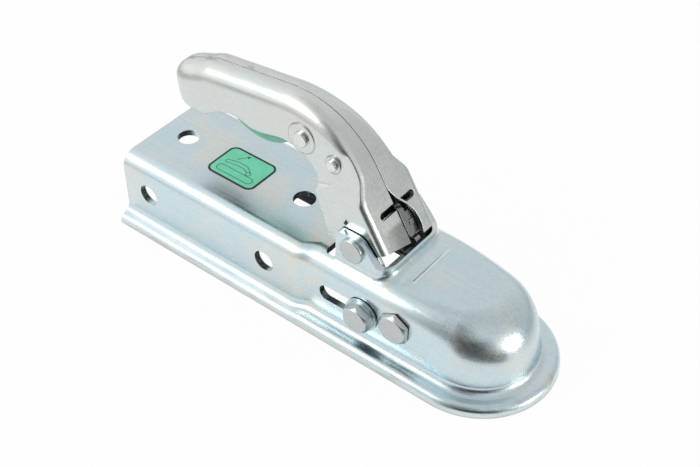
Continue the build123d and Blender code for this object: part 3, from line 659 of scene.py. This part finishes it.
zinc_bolt = zinc_plate(
    "zinc_bolt", (0.62, 0.69, 0.70), (0.68, 0.70, 0.68), 0.30, 0.010, no_streak, 0.45, bolt_marks
)
zinc_rivet = zinc_plate(
    "zinc_rivet", (0.74, 0.78, 0.76), (0.78, 0.78, 0.74), 0.15, 0.006, no_streak, 0.5
)
zinc_washer = zinc_plate(
    "zinc_washer", (0.60, 0.69, 0.70), (0.68, 0.70, 0.68), 0.24, 0.006, no_streak, 0.25
)
spring_wire = zinc_plate(
    "spring_wire", (0.50, 0.51, 0.52), (0.55, 0.55, 0.54), 0.25, 0.004, no_streak, 0.1
)
forged_steel = zinc_plate(
    "forged_steel", (0.46, 0.48, 0.49), (0.52, 0.51, 0.47), 0.42, 0.030, no_streak, 0.6
)
small_finishes = (zinc_bolt, zinc_rivet, zinc_washer, spring_wire, forged_steel)
print("finishes:", *(finish.name for finish in small_finishes))

# %% [markdown]
# ## The green moulding
# The squeeze grip under the handle is a moulded plastic. Plastic is not a metal, so its colour is in
# the base and its gloss is a weak white reflection on top. A spark-eroded mould leaves a fine even
# texture, and the colour varies only slightly. One noise for the colour and one for the texture are
# enough, where a picture of plastic would show its repeats.

# %% Make the plastic
def moulded_plastic(name, colour, dark, rough):
    """Matt moulded plastic with an eroded texture."""
    material = new_material(name)
    tree = material.node_tree
    flow = clouds(tree, 9, 2.0)
    erosion = clouds(tree, 0.35, 2.0)
    shade = mixed(tree, spread(tree, flow, 0.3, 0.7), colour, dark)
    rounded, _ = rounded_edges(tree, 0.4)
    surface = add_node(
        tree, "ShaderNodeBsdfPrincipled", Base_Color=shade,
        Roughness=spread(tree, erosion, 0.3, 0.7, rough, rough + 0.15),
        Normal=bump(tree, erosion, 0.012, rounded),
    )
    add_node(tree, "ShaderNodeOutputMaterial", Surface=surface.outputs[0])
    return material


green_moulding = moulded_plastic("green_moulding", (0.22, 0.58, 0.44), (0.19, 0.52, 0.38), 0.42)
print("plastic:", green_moulding.name)

# %% [markdown]
# ## Dressing the solids
# The solids carry the names of their material slots, so one table gives every solid its finish. A
# second, short table names the few with a finish of their own: washers and rivets that shine more, and
# pieces inside the handle with a darker plate, which is painted shade. The meshes are left as they are:
# only the material in the slot changes.

# %% Give every solid its finish
finishes = {
    "zinc_sheet": zinc_sheet,
    "zinc_handle": zinc_handle,
    "zinc_bolt": zinc_bolt,
    "spring_wire": spring_wire,
    "forged_steel": forged_steel,
    "green_moulding": green_moulding,
}
own_finish = {
    "slide_washers": zinc_washer,
    "trigger_rivet": zinc_rivet,
    "shell_rivet": zinc_rivet,
    "latch_lever": zinc_lever_painted_shade,
    "pivot_bush": zinc_lever_painted_shade,
    "shell_spacer": zinc_lever_painted_shade,
}
slot_of = {row["node"]: row["material_slot"] for row in frame["record"]["subparts"]}
for node_name, solid in frame["nodes"].items():
    finish = own_finish.get(node_name, finishes[slot_of[node_name]])
    solid.data.materials.clear()
    solid.data.materials.append(finish)
    print(node_name, "gets", finish.name)

# %% [markdown]
# ## The press line
# In front of the opening the press left one straight raised line across the top. A bump in the
# material would vanish in the exported mesh, so the line is a low ridge of its own: a rounded section
# carried across the top, which runs out to nothing at both ends. Its plate has almost no rounding of
# edges, because the Bevel node would reach through so thin a ridge and darken it.

# %% Raise the press line
top_mount = next(mount for mount in frame["record"]["mounts"] if mount["name"] == "top_bolts")
top_height = top_mount["pos_m"][2] / millimetre
line_place = -33.5
line_half_length = 17.0
line_run_out = 2.5
line_steps = 34
line_sink = 0.05
line_section = [
    (-1.25, -line_sink), (-0.85, 0.12), (-0.4, 0.29), (0.0, 0.34),
    (0.4, 0.29), (0.85, 0.12), (1.25, -line_sink),
]
ridge = bmesh.new()
rows = []
for step in range(line_steps + 1):
    across = -line_half_length + 2 * line_half_length * step / line_steps
    share = min(1.0, (line_half_length - abs(across)) / line_run_out)
    rows.append([
        ridge.verts.new((line_place + along, across, top_height - line_sink + (up + line_sink) * share))
        for along, up in line_section
    ])
for row, following in zip(rows, rows[1:]):
    for index in range(len(line_section) - 1):
        corners = (row[index], row[index + 1], following[index + 1], following[index])
        ridge.faces.new(corners).smooth = True
    ridge.faces.new((row[-1], row[0], following[0], following[-1]))
bmesh.ops.remove_doubles(ridge, verts=ridge.verts, dist=0.01)
bmesh.ops.recalc_face_normals(ridge, faces=ridge.faces)
bmesh.ops.scale(ridge, vec=(millimetre,) * 3, verts=ridge.verts)
print("press line rows:", len(rows))

# %% Finish the press line
ridge_mesh = bpy.data.meshes.new("press_line")
ridge.to_mesh(ridge_mesh)
ridge.free()
# painted highlight: the ridge's plate is lighter than the body's
line_painted_highlight_finish = zinc_plate(
    "zinc_line_painted_highlight", (0.80, 0.86, 0.86), (0.82, 0.85, 0.82), 0.20, 0.002, edge=0.01
)
ridge_mesh.materials.append(line_painted_highlight_finish)
press_line = bpy.data.objects.new("press_line", ridge_mesh)
bpy.context.scene.collection.objects.link(press_line)
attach(press_line, "head")
print("press line faces:", len(ridge_mesh.polygons))

# %% [markdown]
# ## The trigger spring
# A small compression spring presses the grip down, and a squeeze shortens it. A spring of the same
# size takes the solid's place and rides on the handle. It is a round wire carried along a helix whose
# end turns lie close, as on a real spring that has to stand level. A curve with a bevel could draw the
# wire too, but a mesh of rings is exported as it is.

# %% Wind a wire
def wire_coil(name, middle, radius, wire, low, high, turns, end_turns=0.8, steps=28, sides=10):
    """A round wire wound about a vertical axis. Its end turns lie close."""
    close_pitch = 2.05 * wire
    coil = bmesh.new()
    total = turns + 2 * end_turns
    close_rise = end_turns * close_pitch
    open_rise = (high - low - 2 * wire - 2 * close_rise) / turns
    rings = []
    for step in range(round(total * steps) + 1):
        turn = step / steps
        opened = min(max(turn - end_turns, 0.0), turns)
        closed = turn - opened
        height = low + wire + opened * open_rise + closed * close_pitch
        outwards = Vector((math.cos(turn * math.tau), math.sin(turn * math.tau), 0))
        ring = []
        for side in range(sides):
            angle = math.tau * side / sides
            place = middle + outwards * (radius + wire * math.cos(angle))
            ring.append(coil.verts.new((place.x, place.y, height + wire * math.sin(angle))))
        rings.append(ring)
    for ring, following in zip(rings, rings[1:]):
        for side in range(sides):
            after = (side + 1) % sides
            corners = (ring[side], ring[after], following[after], following[side])
            coil.faces.new(corners).smooth = True
    coil.faces.new(rings[0])
    coil.faces.new(rings[-1])
    bmesh.ops.recalc_face_normals(coil, faces=coil.faces)
    mesh = bpy.data.meshes.new(name)
    coil.to_mesh(mesh)
    coil.free()
    piece = bpy.data.objects.new(name, mesh)
    bpy.context.scene.collection.objects.link(piece)
    return piece


print("wire helper ready")

# %% Coil the trigger spring
spring_low, spring_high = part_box("trigger_spring")
spring_middle = (spring_low + spring_high) / 2
spring_turns = 4
wire_radius = 0.5 * millimetre
coil_radius = (spring_high.y - spring_low.y) / 2 - wire_radius
trigger_coil = wire_coil(
    "trigger_coil", spring_middle, coil_radius, wire_radius, spring_low.z, spring_high.z, spring_turns
)
trigger_coil.data.materials.append(spring_wire)

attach(trigger_coil, "handle")
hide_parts("trigger_spring")
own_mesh(trigger_coil)

# %% [markdown]
# ## The label
# A printed film lies on the rear of the top face: light green with a black border. The print could be
# a pattern in the material, but flat polygons give crisp lines at any distance, so the film, its border
# and a plain line drawing of a lever and its swing are one thin mesh with two materials.

# %% Make the label's inks
def printed_film(name, colour, rough):
    """Thin glossy film with a faint print grain."""
    material = new_material(name)
    tree = material.node_tree
    dots = clouds(tree, 0.5, 2.0)
    haze = clouds(tree, 7.0, 2.0)
    darker = tuple(channel * 0.9 for channel in colour)
    shade = mixed(tree, spread(tree, haze, 0.35, 0.65), colour, darker)
    surface = add_node(
        tree, "ShaderNodeBsdfPrincipled", Base_Color=shade,
        Roughness=spread(tree, dots, 0.3, 0.7, rough, rough + 0.1), Normal=bump(tree, dots, 0.003),
    )
    add_node(tree, "ShaderNodeOutputMaterial", Surface=surface.outputs[0])
    return material


label_inks = [
    printed_film("label_green", (0.20, 0.84, 0.53), 0.34),
    printed_film("label_black", (0.018, 0.018, 0.020), 0.38),
]
green_ink, black_ink = range(len(label_inks))
print("inks:", *(ink.name for ink in label_inks))

# %% Make the drawing helpers
film_thickness = 0.12
print_height = film_thickness + 0.02


def rounded_frame(width, depth, radius, middle=(0, 0), steps=8):
    """Outline of a rectangle with round corners, as points round its middle."""
    points = []
    for corner, (side_x, side_y) in enumerate(((1, 1), (-1, 1), (-1, -1), (1, -1))):
        for step in range(steps + 1):
            angle = math.radians(90 * corner + 90 * step / steps)
            points.append((middle[0] + side_x * (width / 2 - radius) + radius * math.cos(angle),
                           middle[1] + side_y * (depth / 2 - radius) + radius * math.sin(angle)))
    return points


def arc(middle, radius, start, end, steps=16):
    """Points along an arc, with angles in degrees."""
    turns = [math.radians(start + (end - start) * step / steps) for step in range(steps + 1)]
    return [
        (middle[0] + radius * math.cos(turn), middle[1] + radius * math.sin(turn)) for turn in turns
    ]


def flat_face(mesh, points, height, ink):
    """A flat polygon at a height over the top face."""
    corners = [mesh.verts.new((x, y, height)) for x, y in points]
    mesh.faces.new(corners).material_index = ink
    return corners


def line_strip(mesh, points, width, closed=False):
    """A printed line of even width along the points."""
    count = len(points)
    sides = []
    for index, point in enumerate(points):
        before = points[index - 1] if closed or index else point
        after = points[(index + 1) % count] if closed or index < count - 1 else point
        along = (Vector(after) - Vector(before)).normalized()
        across = Vector((-along.y, along.x)) * width / 2
        edges = [Vector(point) + side * across for side in (1, -1)]
        sides.append([mesh.verts.new((*edge, print_height)) for edge in edges])
    for index in range(count if closed else count - 1):
        following = sides[(index + 1) % count]
        face = mesh.faces.new((sides[index][0], sides[index][1], following[1], following[0]))
        face.material_index = black_ink


print("drawing helpers ready, print", round(print_height, 2), "mm over the panel")

# %% [markdown]
# The film is cut with round corners, and its cut edge is black like the border. So the top is one
# green polygon, the edge is a row of black quads, and the border is a closed strip a little inside.

# %% Cut the film and print its border
label_width, label_depth, label_corner = 35.0, 26.4, 5.0
border_width, border_inset = 1.35, 0.7

film = bmesh.new()
outer_edge = rounded_frame(label_width, label_depth, label_corner)
top = flat_face(film, outer_edge, film_thickness, green_ink)
foot = [film.verts.new((x, y, 0)) for x, y in outer_edge]
for index in range(len(top)):
    following = (index + 1) % len(top)
    side = film.faces.new((foot[index], foot[following], top[following], top[index]))
    side.material_index = black_ink
border = rounded_frame(
    label_width - 2 * border_inset, label_depth - 2 * border_inset, label_corner - border_inset
)
line_strip(film, border, border_width, closed=True)
print("label outline:", len(outer_edge), "points")

# %% [markdown]
# The drawing on the film is only a sign for a lever that swings up: a bar, a cranked lever on a pivot,
# and an arrow. Each line is a strip of quads, and the arrow's head is a triangle.

# %% Draw the lever
thin = 0.38
lever_end = (-11, -0.1)
pivot = (6.5, -2.2)
arrow_length = 2.4
line_strip(film, rounded_frame(26, 5, 2.4, (0, -6.6)), thin, closed=True)
line_strip(film, [(-11, -1.4), (-4, 0.0), (1, 0.1), (5.2, -1.6)], thin)
line_strip(film, [(-11, 1.2), (-4, 2.8), (2.4, 2.6), (7.6, -1.1)], thin)
line_strip(film, arc(lever_end, 1.3, 90, 270), thin)
line_strip(film, arc(pivot, 1.5, 0, 360), thin)
swing = arc(pivot, 15.0, 155, 132)
line_strip(film, swing, thin)
arrow_foot = Vector(swing[-1])
onwards = (arrow_foot - Vector(swing[-2])).normalized()
sideways = Vector((-onwards.y, onwards.x))
arrow = [arrow_foot + arrow_length * onwards, arrow_foot + sideways, arrow_foot - sideways]
flat_face(film, arrow, print_height, black_ink)
print("label corners:", len(film.verts))

# %% Lay the label on the part
label_middle = Vector((-0.1674, -0.0018, top_height * millimetre))
to_panel = Matrix.Translation(label_middle) @ Matrix.Scale(millimetre, 4)
bmesh.ops.transform(film, matrix=to_panel, verts=film.verts)
label_mesh = bpy.data.meshes.new("printed_label")
film.to_mesh(label_mesh)
film.free()
for ink in label_inks:
    label_mesh.materials.append(ink)
label = bpy.data.objects.new("printed_label", label_mesh)
bpy.context.scene.collection.objects.link(label)
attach(label, "head")
print("label faces:", len(label_mesh.polygons))
